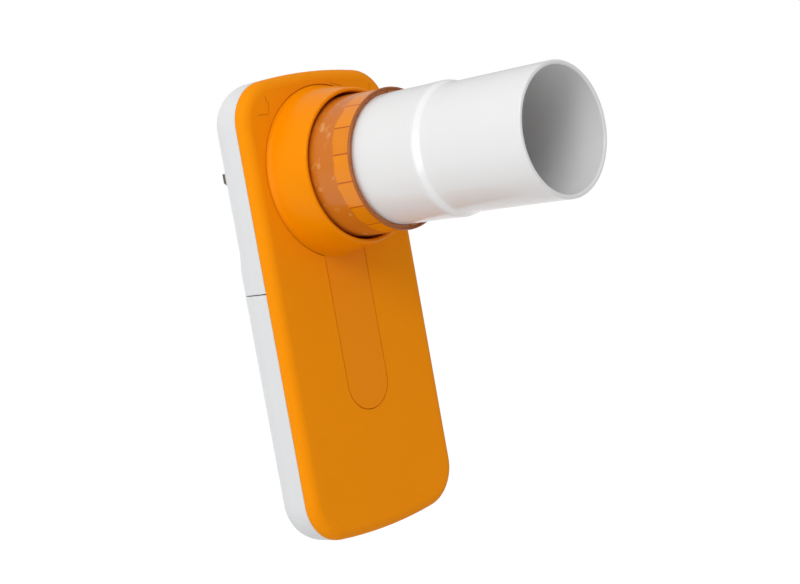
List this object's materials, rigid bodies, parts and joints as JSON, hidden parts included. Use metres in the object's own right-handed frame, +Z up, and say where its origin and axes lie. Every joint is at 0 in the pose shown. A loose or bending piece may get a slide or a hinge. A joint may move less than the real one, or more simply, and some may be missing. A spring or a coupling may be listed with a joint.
{
  "type": "handheld spirometer",
  "caption": "Handheld turbine spirometer: flat rounded housing with a round front socket, a pull-out translucent turbine and a push-on mouthpiece.",
  "frame": {"origin": "middle of the housing block, where a hand holds it", "axes": "+X to the right of the face, +Y to the back, +Z up along the housing; the mouthpiece points along -Y"},
  "size_m": [0.049, 0.0838, 0.109],
  "materials": {
    "orange_soft": "soft-touch satin",
    "orange_shell": "satin",
    "white_shell": "fine satin",
    "white_mouthpiece": "smooth satin",
    "amber": "glossy translucent",
    "rotor_film": "matt",
    "inner_black": "matt",
    "inner_grey": "matt",
    "steel": "nickel plated",
    "jewel": "polished",
    "cell_skin": "printed film",
    "board_green": "solder mask",
    "chip_black": "moulded"
  },
  "bodies": {
    "housing": {"front_cover": "orange_soft", "socket_bezel": "orange_shell", "rear_cover": "white_shell", "battery_tray": "inner_grey", "cell_left": "cell_skin", "cell_right": "cell_skin", "bridge_contact": "steel", "positive_contact": "steel", "negative_contact": "steel", "contact_springs": "steel", "upper_screws": "steel", "lower_screws": "steel", "socket_sleeve": "inner_black", "circuit_board": "board_green", "microcontroller": "chip_black", "radio_module": "steel", "memory_chip": "chip_black", "board_components": "chip_black", "light_emitters": "chip_black", "light_receivers": "chip_black"},
    "battery_door": {"battery_cover": "white_shell"},
    "turbine": {"turbine_housing": "amber", "front_straightener": "amber", "rear_straightener": "amber", "front_pivot_cup": "jewel", "rear_pivot_cup": "jewel"},
    "rotor": {"rotor_shaft": "steel", "rotor_vane": "rotor_film"},
    "mouthpiece_body": {"mouthpiece": "white_mouthpiece"}
  },
  "joints": [
    {"name": "battery_cover_slide", "type": "slide", "parent": "housing", "child": "battery_door", "axis": [0, 0, -1], "range_m": [0, 0.062]},
    {"name": "turbine_pull", "type": "slide", "parent": "housing", "child": "turbine", "axis": [0, -1, 0], "range_m": [0, 0.036]},
    {"name": "mouthpiece_pull", "type": "slide", "parent": "turbine", "child": "mouthpiece_body", "axis": [0, -1, 0], "range_m": [0, 0.02]},
    {"name": "rotor_spin", "type": "hinge", "parent": "turbine", "child": "rotor", "pos_m": [0, -0.00675, 0.0308], "axis": [0, 1, 0], "continuous": true}
  ]
}
